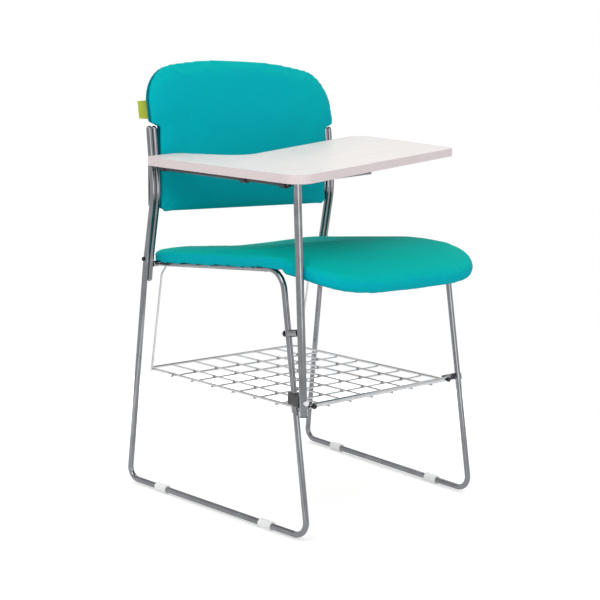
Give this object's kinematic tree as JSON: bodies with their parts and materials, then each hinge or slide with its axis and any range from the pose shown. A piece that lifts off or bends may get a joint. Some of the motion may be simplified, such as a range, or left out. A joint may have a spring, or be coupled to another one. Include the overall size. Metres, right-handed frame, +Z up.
{
  "type": "lecture chair",
  "caption": "Lecture chair with a bright rod frame, padded seat and back, wire book basket under the seat and a fold-up writing board on a side post.",
  "frame": {"origin": "floor point under the middle of the chair's overall box", "axes": "+Z up; the sitter faces -Y; the writing board's post stands on the -X side (the sitter's right)"},
  "size_m": [0.5651, 0.5032, 0.815],
  "materials": {
    "chrome_rod": "polished bright chrome",
    "chrome_wire": "polished bright chrome",
    "chrome_fitting": "polished bright chrome",
    "dark_steel": "satin black paint",
    "zinc_screw": "bright zinc plate",
    "black_hardware": "black oxide, low sheen",
    "black_plastic": "moulded, fine grain",
    "rubber_buffer": "matt",
    "plywood": "sanded ply",
    "teal_fabric": "coated cloth, soft sheen",
    "teal_cover": "coated cloth, soft sheen",
    "lime_tag": "woven ribbon",
    "clear_glide": "milky translucent",
    "pale_laminate": "laminate with a faint grain",
    "pale_edging": "smooth edge band"
  },
  "bodies": {
    "frame": {"right_side_frame": "chrome_rod", "left_side_frame": "chrome_rod", "right_back_rod": "chrome_rod", "left_back_rod": "chrome_rod", "rod_bolts": "black_hardware", "front_cross_rod": "chrome_rod", "rear_cross_rod": "chrome_rod", "seat_tabs": "dark_steel", "seat_screws": "zinc_screw", "seat_board": "plywood", "seat_cushion": "teal_fabric", "right_back_strap": "dark_steel", "left_back_strap": "dark_steel", "strap_screws": "zinc_screw", "back_board": "plywood", "back_cushion": "teal_fabric", "back_cover": "teal_cover", "side_tag": "lime_tag", "front_right_glide": "clear_glide", "rear_right_glide": "clear_glide", "front_left_glide": "clear_glide", "rear_left_glide": "clear_glide", "basket_rim_wire": "chrome_wire", "basket_long_wires": "chrome_wire", "basket_cross_wires": "chrome_wire", "basket_front_bar": "chrome_wire", "right_bar_clip": "chrome_fitting", "left_bar_clip": "chrome_fitting", "bar_clip_bolts": "black_hardware", "basket_hangers": "chrome_wire", "board_post": "chrome_fitting", "post_plug": "black_plastic", "lower_clamp": "black_plastic", "lower_clamp_bolt": "zinc_screw", "upper_clamp_sleeve": "chrome_fitting", "upper_clamp_bolt": "black_hardware", "upper_clamp_nut": "black_hardware", "board_plate": "chrome_fitting", "hinge_rod": "dark_steel", "plate_buffers": "rubber_buffer", "hinge_rod_cap": "black_plastic"},
    "tablet": {"front_bush": "black_plastic", "rear_bush": "black_plastic", "bush_screws": "zinc_screw", "writing_board": "pale_laminate", "board_edging": "pale_edging"}
  },
  "joints": [
    {"name": "tablet_fold", "type": "hinge", "parent": "frame", "child": "tablet", "pos_m": [-0.238, -0.094, 0.6145], "axis": [0, -1, 0], "range_deg": [0, 90]}
  ]
}
